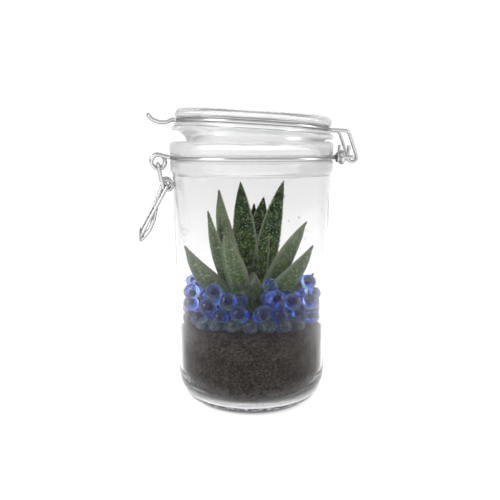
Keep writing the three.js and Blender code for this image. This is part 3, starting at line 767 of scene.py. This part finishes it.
def build_jar():
    """One turned profile, from the middle of the foot up the outside and down the inside."""
    foot = [
        (0, 1.6), (12, 1.5), (24, 1.1), (31, 0.8), (33.2, 0.15), (34.2, 0), (36.6, 0), (37.6, 0.35),
        (39, 0.2),
    ]
    heel = heel_curve(FOOT_RADIUS - 0.6, 0.1, BODY_RADIUS_LOW, HEEL_HEIGHT)
    groove = NECK_WIRE_RING - NECK_WIRE - GAP
    neck = rounded([
        (BODY_RADIUS_LOW, HEEL_HEIGHT + 1), (BODY_RADIUS_HIGH, SHOULDER_Z), (NECK_RADIUS, SHOULDER_Z + 2.4),
        (NECK_RADIUS, NECK_WIRE_Z - 2.4), (groove, NECK_WIRE_Z - 1.5), (groove, NECK_WIRE_Z + 1.5),
        (NECK_RADIUS, NECK_WIRE_Z + 2.4), (NECK_RADIUS, RIM_Z - 1.6), (NECK_RADIUS - 2.2, RIM_Z), (51, RIM_Z),
        (48.6, RIM_Z - 1.4), (46.8, RIM_Z - 4.5), (MOUTH_RADIUS, RIM_Z - 8.5), (MOUTH_RADIUS, SHOULDER_Z + 8),
        (BODY_RADIUS_HIGH - WALL, SHOULDER_Z + 1), (BODY_RADIUS_LOW - WALL, HEEL_HEIGHT + 4),
    ], 0.9)
    inner = heel_curve(INNER_FLOOR_RADIUS, FLOOR_Z, BODY_RADIUS_LOW - WALL, HEEL_HEIGHT + 3)
    profile = foot + heel + neck + inner[::-1] + [(16, FLOOR_Z + 0.1), (0, FLOOR_Z + 0.2)]
    verts, faces = lathe(refined(profile))
    mesh_piece("jar_body_glass", verts, faces, "jar", JAR_GLASS, ["jar_glass"], "clear_glass")


def milled(radius, z, angle):
    """Lifts the rings on top of the lid's edge into a row of fine teeth."""
    low, high = MILL_BAND
    on_top = z > LIP_Z + LID_TOP - 1.2 and low < radius < high
    lift = MILL_LIFT * math.sin(angle * ROUND_STEPS / 2 + math.pi / 2) if on_top else 0.0
    return radius, z + lift


def build_lid():
    """One turned profile, from the hollow's roof down the plug, out along the lip and over the top."""
    hollow = [(0, 6.6), (30, 6.2), (37.5, 4), (39.8, 0), (40.6, -5), (41.4, -PLUG_DEPTH + 0.4)]
    plug = [
        (42.5, -PLUG_DEPTH - 0.3), (PLUG_RADIUS, -PLUG_DEPTH + 0.3), (43.9, -9.2), (44.6, -7.4), (46, -5.6),
        (48, -4.2), (49, -3.2), (49.2, -2.4), (49.2, 0),
    ]
    edge = [
        (LIP_RADIUS, 0), (LIP_RADIUS, 1.6), (LIP_RADIUS - 0.8, 1.9), (LID_GROOVE_RADIUS, LID_GROOVE_Z - 1.5),
        (LID_GROOVE_RADIUS, LID_GROOVE_Z + 1.4), (50.6, 5.1), (51.5, 6), (51.8, 7.4), (51.5, 8.9),
    ]
    top = [(50.2, 10.3), (48.2, LID_TOP), (41, LID_TOP), (40, LID_TOP - 0.8), (0, LID_TOP - 0.8)]
    profile = [(r, z + LIP_Z) for r, z in refined(rounded(hollow + plug + edge + top, 0.5, 3))]
    verts, faces = lathe(profile, ROUND_STEPS * 2, milled)
    verts = turned_about_hinge(verts)
    mesh_piece("lid_disc_glass", verts, faces, "lid", LID_GLASS, ["lid_glass"], "clear_glass")


def build_gasket():
    low, high = LIP_Z - GAP - GASKET_THICK, LIP_Z - GAP
    inner, outer = GASKET_INNER, GASKET_OUTER
    profile = rounded([
        (inner, low + 0.2), (inner + 0.6, low), (outer - 0.5, low), (outer, low + 0.6), (outer, high - 0.6),
        (outer - 0.5, high), (inner, high), (inner, low + 0.2),
    ], 0.4, 3)
    verts, faces = lathe(profile)
    mesh_piece("seal_ring", turned_about_hinge(verts), faces, "lid", SEAL, ["lid_gasket"], "seal_rubber")


# Wires


def build_neck_wire():
    """One closed wire: a loop at the hinge, a ring round the neck and two eyes for the lever."""
    entry_y, exit_y = -10.5, -7.6
    eye = coil(EYE, EYE_RADIUS, 90, 405, entry_y, exit_y, COIL_STEPS)
    cross_x, _, cross_z = eye[-1]
    half = route_points([
        (HINGE_X, 0, NECK_WIRE_Z),
        (HINGE_X, -HINGE_LOOP_HALF, NECK_WIRE_Z, 2.5),
        (ring_x(NECK_WIRE_RING, HINGE_LOOP_HALF), -HINGE_LOOP_HALF, NECK_WIRE_Z, 3),
        *half_ring(NECK_WIRE_RING, NECK_WIRE_Z, -HINGE_LOOP_HALF, entry_y),
        (-ring_x(NECK_WIRE_RING, entry_y), entry_y, NECK_WIRE_Z, 3),
        *eye[:-1],
        (cross_x, exit_y, cross_z, 1.2),
        (cross_x, 0, cross_z),
    ])
    verts, faces = tube(with_mirror(half, True), NECK_WIRE, closed=True)
    mesh_piece("neck_band_wire", verts, faces, "jar", WIRE, ["neck_wire"], "steel_wire")


def build_lid_wire():
    """One open wire: hooked under the hinge loop, round the lid's groove and out to the nose."""
    ring = LID_GROOVE_RADIUS + GAP + LID_WIRE
    z = LIP_Z + LID_GROOVE_Z
    nose = [(x, -NOSE_HALF + inwards, z + up, bend) for x, inwards, up, bend in NOSE_ROUTE]
    half = route_points([
        (HINGE_X - HOOK_RADIUS, -HOOK_HALF, NECK_WIRE_Z + HOOK_TAIL),
        *coil((HINGE_X, NECK_WIRE_Z), HOOK_RADIUS, 180, 386, -HOOK_HALF, -HOOK_HALF, HOOK_STEPS),
        (HINGE_X - 4.4, -HOOK_HALF, z, 4),
        (ring_x(ring, HOOK_HALF), -HOOK_HALF, z, 3),
        *half_ring(ring, z, -HOOK_HALF, -NOSE_HALF),
        (-ring_x(ring, NOSE_HALF), -NOSE_HALF, z, 2.4),
        *nose,
        (nose[-1][0], 0, nose[-1][2]),
    ])
    verts, faces = tube(with_mirror(half, False), LID_WIRE)
    mesh_piece("lid_band_wire", turned_about_hinge(verts), faces, "lid", WIRE, ["lid_wire"], "steel_wire")


def build_lever():
    """One wire that hangs in the eyes, turns a coil each side and ends in the bent handle."""
    arm_y, handle_y = -12.8, -10.2
    half = route_points([
        (LEVER_PIVOT[0], -6.2, LEVER_PIVOT[1]),
        (LEVER_PIVOT[0], arm_y, LEVER_PIVOT[1], 1.5),
        *coil(LEVER_COIL, COIL_RADIUS, 191, 518, arm_y, handle_y, COIL_STEPS),
        *LEVER_HANDLE,
        (LEVER_HANDLE[-1][0], 0, LEVER_HANDLE[-1][2]),
    ])
    verts, faces = tube(with_mirror(half, False), LEVER_WIRE)
    mesh_piece("clasp_lever_wire", verts, faces, "lever", WIRE, ["lever_wire"], "steel_wire")


def build_bail():
    """The loop that hangs in the lever's coils."""
    arm_y = -15.4
    half = route_points([
        (BAIL_PIVOT[0], -8.4, BAIL_PIVOT[1]),
        (BAIL_PIVOT[0], arm_y, BAIL_PIVOT[1], 1.5),
        (BAIL_END[0], arm_y, BAIL_END[1], 5),
        (BAIL_END[0], 0, BAIL_END[1]),
    ])
    verts, faces = tube(with_mirror(half, False), BAIL_WIRE)
    mesh_piece("clasp_bail_wire", verts, faces, "bail", WIRE, ["bail_wire"], "steel_wire")


def build_bushes():
    """A flared collar on each side of the neck wire's rear loop."""
    profile = rounded([
        (COLLAR_BORE, 0), (3.2, 0), (3.4, 0.9), (2.8, 1.4), (3.6, 2.0), (4.7, 3.0), (4.7, 4.4), (3.9, 4.4),
        (COLLAR_BORE, 4.4), (COLLAR_BORE, 0),
    ], 0.25, 3)
    for side, end in ((-1, "near"), (1, "far")):
        verts, faces = lathe(profile, 40)
        verts = [(COLLAR_X + z, side * HINGE_LOOP_HALF + x, NECK_WIRE_Z + y) for x, y, z in verts]
        mesh_piece(f"hinge_collar_{end}", verts, faces, "jar", BUSH, [f"hinge_bush_{end}"], "bush_steel")


# Soil


def soil_top(x, y):
    """Height of the soil: domed, and sloping down towards the back."""
    back = -x * math.sin(VIEW_TURN) + y * math.cos(VIEW_TURN)
    spread = math.hypot(x, y) / BED_RADIUS
    return SOIL_EDGE_Z + SOIL_CROWN * (1 - spread * spread) - SOIL_SLOPE * back


def build_soil():
    """A turned bed whose top rings are then laid on the soil's real height."""
    top_mark = 1000.0
    wall_steps, top_steps = 26, 22
    heel = heel_curve(INNER_FLOOR_RADIUS - SOIL_GAP, FLOOR_Z + SOIL_GAP, SOIL_RADIUS, HEEL_HEIGHT + 3)
    wall = [(SOIL_RADIUS, HEEL_HEIGHT + 3 + k) for k in range(1, wall_steps)]
    surface = [(SOIL_RADIUS * (1 - k / top_steps), top_mark) for k in range(top_steps)]
    verts, faces = lathe([(0, FLOOR_Z + SOIL_GAP), *heel, *wall, *surface, (0, top_mark)])
    made = []
    for x, y, z in verts:
        lump = noise.noise(Vector((x, y, z)) * LUMP_SCALE)
        if z == top_mark:
            z = soil_top(x, y) + LUMP_HEIGHT * lump
        else:
            z = min(z, soil_top(x, y) - 0.2)
        made.append((x, y, z))
    mesh_piece("soil_bed", made, faces, "jar", SOIL, ["soil"], "potting_soil")


# Leaves


# Each leaf: its tip and a place on its middle line, both (right, back, z) as seen from the front, then
# its width and its roll in degrees
LEAVES = {
    "tall_centre": ((-7.8, 16, 150.3), (-5.5, 8, 108), 19, 0),
    "tall_right": ((23.1, 18, 151), (12.5, 8, 106), 18, -25),
    "front_left": ((-16.6, -24, 120.5), (-12.3, -18, 92), 20, 0),
    "upper_left": ((-22.1, 4, 145.4), (-17, 2, 106), 19, 42),
    "side_left": ((-29, -8, 132.5), (-20.5, -5, 93), 15, 35),
    "side_right": ((38.3, 4, 123.6), (22, 2, 94), 22, 32),
    "low_left": ((-45.2, -8, 108.7), (-27.5, -7, 80), 24, 32),
    "low_right": ((41.4, -10, 109.4), (25, -8, 82), 19.5, 35),
    "rear_right": ((8.8, 24, 138.9), (5, 13, 102), 19, 0),
    "rear_centre": ((2.4, 29, 134), (0.5, 19, 98), 13, 0),
    "back_left": ((-13, 33, 120), (-8, 21, 90), 15, 0),
    "back_right": ((16, 35, 118), (10, 22, 89), 15, 0),
    "far_right": ((31, 24, 102), (19, 15, 82), 15, 0),
    "far_left": ((-29, 24, 102), (-18, 15, 81), 14, 0),
    "small_front": ((1.3, -20, 92.8), (1, -14, 79), 11, 0),
    "small_left": ((-42.1, 4, 90.6), (-28, 4, 75), 11, 20),
    "small_right": ((43.6, 0, 87.7), (28, 0, 75), 11, 20),
}
SHADED_LEAVES = ("rear_centre", "back_left", "back_right")
CROWN_LEAVES = [((3, 4, 92), (1.5, 3, 82), 9, 0), ((-3, -5, 88), (-1.5, -4, 78), 9, 0)]
WIDEST_AT = 0.4
BASE_WIDTH = 0.72
TIP_TAPER = 1.7
VIA_AT = 0.45
THICKNESS_SHARE = 0.27
CHANNEL_RISE = 0.16
LEAF_STEPS = 96
TEETH_EVERY = 4
TOOTH_REACH = 0.38
TOOTHED = (0.06, 0.97)
SWAY_REACH = 0.35
SWAY_TURN = 7
UNDER_SHIFT = 40
LEAF_SEED = 40
CROWN_SEED = 80


def leaf_outline(t):
    """Share of the leaf's full width, from base (0) to tip (1)."""
    if t < WIDEST_AT:
        return BASE_WIDTH + (1 - BASE_WIDTH) * math.sin(t / WIDEST_AT * math.pi / 2)
    return 1 - ((t - WIDEST_AT) / (1 - WIDEST_AT)) ** TIP_TAPER


class Spine:
    """The leaf's middle line: a curve from the crown, through a given place, to the tip."""

    def __init__(self, tip, via):
        self.end = Vector((*from_view(*tip[:2]), tip[2]))
        passed = Vector((*from_view(*via[:2]), via[2]))
        self.outward = Vector((self.end.x, self.end.y, 0)).normalized()
        self.base = self.outward * CROWN_RADIUS + Vector((0, 0, CROWN_Z))
        rest = 1 - VIA_AT
        self.control = (passed - self.base * rest * rest - self.end * VIA_AT * VIA_AT) / (2 * rest * VIA_AT)

    def at(self, t):
        s = 1 - t
        return self.base * s * s + self.control * (2 * s * t) + self.end * (t * t)

    def along(self, t):
        return ((self.control - self.base) * (1 - t) + (self.end - self.control) * t).normalized()

    def length(self):
        places = [self.at(i / 20) for i in range(21)]
        return sum((b - a).length for a, b in zip(places, places[1:]))


def leaf_section(span, thick):
    """Points (side, up, edge, under) round a leaf: channelled above, keeled below, thin at the margin."""
    half, rise = 0.5 * span, CHANNEL_RISE * span
    section = []
    upper_steps, lower_steps = 10, 12
    for i in range(upper_steps + 1):
        s = -1 + 2 * i / upper_steps
        up = -0.5 * rise + 1.5 * rise * abs(s) ** 1.6
        section.append((s * half, up, abs(s), 0.0))
    for i in range(1, lower_steps):
        s = 1 - 2 * i / lower_steps
        up = rise - (rise + thick) * (1 - abs(s) ** 1.9)
        section.append((s * half, up - 0.25 * (1 - abs(s)), abs(s), 1.0))
    return section


def add_leaf_maps(piece, masks, uvs):
    """Stores the masks and the flat map that the leaf material reads, one of each for every point."""
    colours = piece.data.color_attributes.new(LEAF_MASKS, "FLOAT_COLOR", "POINT")
    for i, mask in enumerate(masks):
        colours.data[i].color = (*mask, 1.0)
    layer = piece.data.uv_layers.new(name="leaf_map")
    for loop in piece.data.loops:
        layer.data[loop.index].uv = uvs[loop.vertex_index]


def build_leaf(name, leaf, seed, replaces, material=LEAF):
    tip, via, width, roll = leaf
    spine = Spine(tip, via)
    level = Vector((-spine.outward.y, spine.outward.x, 0))
    turn = math.radians(-roll) * (1 if tip[0] > 0 else -1)
    draw = random.Random(seed)
    length = spine.length()
    verts, masks, uvs = [], [], []
    wave_phase = draw.uniform(0, 6.28)
    for i in range(LEAF_STEPS):
        t = i / LEAF_STEPS
        along = spine.along(t)
        across = Matrix.Rotation(turn, 3, along) @ level
        upper = along.cross(across).normalized()
        span = width * leaf_outline(t)
        section = leaf_section(span, max(1.0, THICKNESS_SHARE * span))
        toothed = i % TEETH_EVERY == 0 and TOOTHED[0] < t < TOOTHED[1]
        tooth = TOOTH_REACH if toothed else 0.0
        sway = SWAY_REACH * math.sin(SWAY_TURN * t + wave_phase) * t
        for side, up, edge, under in section:
            reach = side + math.copysign(tooth, side) * (edge > 0.99) + sway
            place = spine.at(t) + across * reach + upper * up
            verts.append(tuple(place))
            masks.append((t, edge, under))
            uvs.append((side + UNDER_SHIFT * under, t * length))
    ring = len(verts) // LEAF_STEPS
    faces = skin(LEAF_STEPS, ring)
    tip_index = len(verts)
    last = tip_index - ring
    faces += [(last + s, last + (s + 1) % ring, tip_index) for s in range(ring)]
    faces.append(tuple(reversed(range(ring))))
    verts.append(tuple(spine.end))
    masks.append((1.0, 0.3, 0.5))
    uvs.append((0.0, length))
    piece = mesh_piece(name, verts, faces, "jar", material, replaces, "leaf_green")
    add_leaf_maps(piece, masks, uvs)


def build_plant():
    for k, (name, leaf) in enumerate(LEAVES.items()):
        look = SHADED_LEAF if name in SHADED_LEAVES else LEAF
        build_leaf("blade_" + name, leaf, LEAF_SEED + k, ["leaf_" + name], look)
    for k, leaf in enumerate(CROWN_LEAVES):
        build_leaf(f"crown_blade_{k}", leaf, CROWN_SEED + k, [])
    stem = [(0, 40), (STEM_RADIUS, 40), (STEM_RADIUS, 66), (STEM_RADIUS - 2.5, 74), (0, 80)]
    verts, faces = lathe(rounded(stem, 2.0, 5), 48)
    made = []
    for x, y, z in verts:
        swell = 1 + 0.06 * noise.noise(Vector((x, y, z)) * 0.25) - 0.05
        made.append((x * swell, y * swell, z))
    piece = mesh_piece("stem_stub", made, faces, "jar", STEM, ["stem"], "stem_green")
    uvs = [(math.atan2(y, x) * STEM_RADIUS, z) for x, y, z in made]
    add_leaf_maps(piece, [(0.5, 0.2, 1.0)] * len(made), uvs)


# Beads


# Beads against the glass in front, as (right, z, radius), and three on top, as (right, back, z, radius).
# Further on each bead is (x, y, z, radius).
FRONT_BEADS = [
    (-46, 62.5, 4.4), (-39.8, 79, 5.4), (-40.5, 70.5, 5.2), (-34.6, 62.5, 4.9), (-28.1, 72, 5.6),
    (-23.9, 83, 5.5), (-20, 67, 5), (-15, 77.5, 5.9), (-7.6, 69.5, 5.9), (6.8, 69.5, 5.9), (15.2, 79, 6.5),
    (18.5, 68, 5.5), (26.7, 76, 5.5), (31.5, 65, 5.2), (39.8, 72, 5.5), (40.3, 61.5, 5.2), (46, 73, 4.3),
]
TOP_BEADS = [(12.3, -33, 86.4, 4.8), (39.5, -8, 83, 5.2), (-38, 4, 78, 5.2)]
BEAD_LIMIT = BED_RADIUS - 0.3

# The lowest beads: how far they sink below the tops of the soil's lumps, and where they stand in front
SUNK_DEPTH = 2.2
LUMP_TOP = 0.5
SUNK_ANGLE = 52
SUNK_SPACING = 2.1 * BEAD_RADIUS

# The loose bed: rings of beads, level over level
BED_SEED = 7
BED_LEVELS = 16
BED_TOP = 84.5
LEVEL_RISE = 2.2
BED_RINGS = (BEAD_LIMIT - 5.2, 40.0, 36.0, 32.0, 28.0, 24.0, 19.0, 14.0)
BEAD_SPACING = 9.6
LOOSE_SIZES = (4.4, 5.6)
RING_JITTER = 1.2
LEVEL_JITTER = 1.0
BEAD_SQUEEZE = 0.84

# Where loose beads leave room for the front row, and for the plant's foot as seen from the front
FRONT_ROW_RING = 37.0
FRONT_ROW_ANGLE = 80
NOTCH_ANGLE = 12
NOTCH_Z = 66

# Painted dark refractions, in beads this far or further from the jar's axis
DARK_REFRACTION_SEED = 3
DARK_REFRACTION_SHARE = (0.27, 0.38)
DARK_REFRACTION_SHIFT = 0.14
DARK_REFRACTION_FROM = 38.0

# Water drops on the inside of the wall
DROP_SEED = 19
DROP_COUNT = 34
DROP_SPREAD_DEG = 75
DROP_HEIGHTS = (58.0, 150.0)
DROP_SIZES = (0.3, 0.62)
DROP_FLATNESS = 0.4
DROP_STRETCH = 1.5


def view_angle(x, y):
    """Sideways angle of a place round the jar, from the viewer's side, in degrees."""
    degrees = math.degrees(math.atan2(y, x)) - 270 - math.degrees(VIEW_TURN)
    return abs((degrees + 180) % 360 - 180)


def front_bead(right, z, radius):
    """A bead that touches the glass in front, at a given place sideways."""
    ring = BEAD_LIMIT - radius
    side = max(-ring, min(ring, right))
    x, y = from_view(side, -math.sqrt(ring * ring - side * side))
    return x, y, z, radius


def sunk_places():
    """A row of beads along the front, half sunk in the soil."""
    ring = BEAD_LIMIT - BEAD_RADIUS
    count = int(2 * math.pi * ring / SUNK_SPACING)
    made = []
    for i in range(count):
        a = 2 * math.pi * i / count
        x, y = ring * math.cos(a), ring * math.sin(a)
        if view_angle(x, y) < SUNK_ANGLE:
            made.append((x, y, soil_top(x, y) + BEAD_RADIUS + LUMP_TOP - SUNK_DEPTH, BEAD_RADIUS))
    return made


def leaf_samples():
    """Balls along the lower three quarters of each leaf and up the stem, which loose beads keep clear of."""
    samples = []
    for tip, via, width, _ in LEAVES.values():
        spine = Spine(tip, via)
        for i in range(12):
            t = i / 16
            samples.append((tuple(spine.at(t)), 0.34 * width * leaf_outline(t)))
    for k in range(8):
        samples.append(((0.0, 0.0, 45.0 + 4 * k), STEM_RADIUS))
    return samples


def loose_places(taken):
    """Beads at the glass in front, then jittered layers wherever there is room."""
    draw = random.Random(BED_SEED)
    samples = leaf_samples()
    placed = list(taken)
    placed += [front_bead(*bead) for bead in FRONT_BEADS]
    placed += [(*from_view(right, back), z, radius) for right, back, z, radius in TOP_BEADS]
    for level in range(BED_LEVELS):
        for ring in BED_RINGS:
            count = int(2 * math.pi * ring / BEAD_SPACING)
            shift = draw.random()
            for i in range(count):
                a = 2 * math.pi * (i + shift) / count
                radius = draw.uniform(*LOOSE_SIZES)
                reach = min(ring + draw.uniform(-RING_JITTER, RING_JITTER), BEAD_LIMIT - radius)
                x, y = reach * math.cos(a), reach * math.sin(a)
                if reach > FRONT_ROW_RING and view_angle(x, y) < FRONT_ROW_ANGLE:
                    continue
                z = soil_top(x, y) + radius * 0.8 + level * LEVEL_RISE
                z += draw.uniform(-LEVEL_JITTER, LEVEL_JITTER)
                if z + radius > BED_TOP or (view_angle(x, y) < NOTCH_ANGLE and z > NOTCH_Z):
                    continue
                if any(math.dist((x, y, z), p[:3]) < BEAD_SQUEEZE * (radius + p[3]) for p in placed):
                    continue
                if any(math.dist((x, y, z), p) - leaf < radius for p, leaf in samples):
                    continue
                placed.append((x, y, z, radius))
    return placed[len(taken):]


def build_beads():
    sunk = sunk_places()
    loose = loose_places(sunk)
    draw = random.Random(DARK_REFRACTION_SEED)
    groups = (
        (loose, "gel_beads", BLUE_GEL, BLUE_DARK_REFRACTION, "water_beads", "blue_gel"),
        # The sunk beads take the painted-shade copy of the gel
        (sunk, "sunk_gel_beads", SHADED_GEL, SHADED_DARK_REFRACTION, "sunk_beads", "teal_gel"),
    )
    # Each group's core is the material of its painted dark refractions
    for places, name, gel, core, node, slot in groups:
        shells = [sphere((x, y, z), r) for x, y, z, r in places]
        mesh_piece(name, *gathered(shells), "jar", gel, [node], slot)
        # A painted dark refraction inside each outer bead
        dark_refractions = []
        for x, y, z, r in places:
            if math.hypot(x, y) < DARK_REFRACTION_FROM:
                continue
            dx, dy, dz = (draw.uniform(-DARK_REFRACTION_SHIFT, DARK_REFRACTION_SHIFT) * r for _ in range(3))
            size = r * draw.uniform(*DARK_REFRACTION_SHARE)
            dark_refractions.append(sphere((x + dx, y + dy, z + dz), size, turns=14, rows=10))
        mesh_piece(name + "_cores", *gathered(dark_refractions), "jar", core, [], slot)


def build_drops():
    """A few tiny flat drops that cling to the inside of the wall."""
    draw = random.Random(DROP_SEED)
    drops = []
    for _ in range(DROP_COUNT):
        a = VIEW_TURN - math.pi / 2 + math.radians(draw.uniform(-DROP_SPREAD_DEG, DROP_SPREAD_DEG))
        c, s = math.cos(a), math.sin(a)
        z = draw.uniform(*DROP_HEIGHTS)
        size = draw.uniform(*DROP_SIZES)
        ring = BODY_RADIUS_LOW - WALL - 0.1 + (BODY_RADIUS_HIGH - BODY_RADIUS_LOW) * z / SHOULDER_Z
        verts, faces = sphere((0, 0, 0), size, turns=12, rows=8)
        made = []
        for x, y, up in verts:
            out = ring - DROP_FLATNESS * size + x * DROP_FLATNESS
            made.append((out * c - y * s, out * s + y * c, z + DROP_STRETCH * up))
        drops.append((made, faces))
    mesh_piece("water_drops", *gathered(drops), "jar", DROP, [], "clear_glass")


# Floor, light and camera


def build_stage():
    """The floor, and a plain studio round it that is brightest behind and above the object."""
    corners = [(x * FLOOR_HALF, y * FLOOR_HALF, 0) for x, y in ((-1, -1), (1, -1), (1, 1), (-1, 1))]
    mesh = bpy.data.meshes.new("floor")
    mesh.from_pydata(corners, [], [(0, 1, 2, 3)])
    mesh.materials.append(floor_material())
    floor = bpy.data.objects.new("floor", mesh)
    bpy.context.scene.collection.objects.link(floor)

    world = bpy.data.worlds.new("studio")
    world.use_nodes = True
    bpy.context.scene.world = world
    tree = world.node_tree
    coords = tree.nodes.new("ShaderNodeTexCoord")
    facing = tree.nodes.new("ShaderNodeVectorMath")
    facing.operation = "DOT_PRODUCT"
    facing.inputs[1].default_value = (*from_view(0, 1), STUDIO_LIFT)
    tree.links.new(coords.outputs["Generated"], facing.inputs[0])
    ramp = tree.nodes.new("ShaderNodeValToRGB")
    stops = ((0.0, STUDIO_FRONT), (STUDIO_FADE, STUDIO_BACK))
    for element, (position, grey) in zip(ramp.color_ramp.elements, stops):
        element.position = position
        element.color = (grey, grey, grey, 1.0)
    tree.links.new(facing.outputs["Value"], ramp.inputs["Fac"])
    tree.links.new(ramp.outputs["Color"], tree.nodes["Background"].inputs["Color"])


def area_light(name, place, size, power):
    light = bpy.data.lights.new(name, "AREA")
    light.shape = "RECTANGLE"
    light.size, light.size_y = size
    light.energy = power
    lamp = bpy.data.objects.new(name, light)
    bpy.context.scene.collection.objects.link(lamp)
    lamp.location = place
    aim = Vector(LAMP_TARGET) - Vector(place)
    lamp.rotation_euler = aim.to_track_quat("-Z", "Y").to_euler()


def build_camera():
    camera = bpy.data.cameras.new("camera")
    camera.sensor_width = SENSOR_MM
    camera.lens = FOCAL_PIXELS / IMAGE_PIXELS * SENSOR_MM
    camera.shift_x = -(CENTRE_PIXEL[0] - IMAGE_PIXELS / 2) / IMAGE_PIXELS
    camera.shift_y = (CENTRE_PIXEL[1] - IMAGE_PIXELS / 2) / IMAGE_PIXELS
    seen = bpy.data.objects.new("camera", camera)
    bpy.context.scene.collection.objects.link(seen)
    seen.location = Vector((*from_view(0, -1), 0)) * CAMERA_DISTANCE * MM
    seen.location.z = CAMERA_HEIGHT * MM
    forward = Vector((*from_view(0, 1), -math.tan(CAMERA_PITCH)))
    seen.rotation_euler = forward.to_track_quat("-Z", "Y").to_euler()
    camera.clip_start = 0.01
    bpy.context.scene.camera = seen


build_jar()
build_lid()
build_gasket()
build_neck_wire()
build_lid_wire()
build_lever()
build_bail()
build_bushes()
build_soil()
build_plant()
build_beads()
build_drops()
build_stage()
for lamp in LAMPS:
    area_light(*lamp)
build_camera()
bpy.context.scene.view_settings.view_transform = "Standard"

bpy.context.view_layer.update()
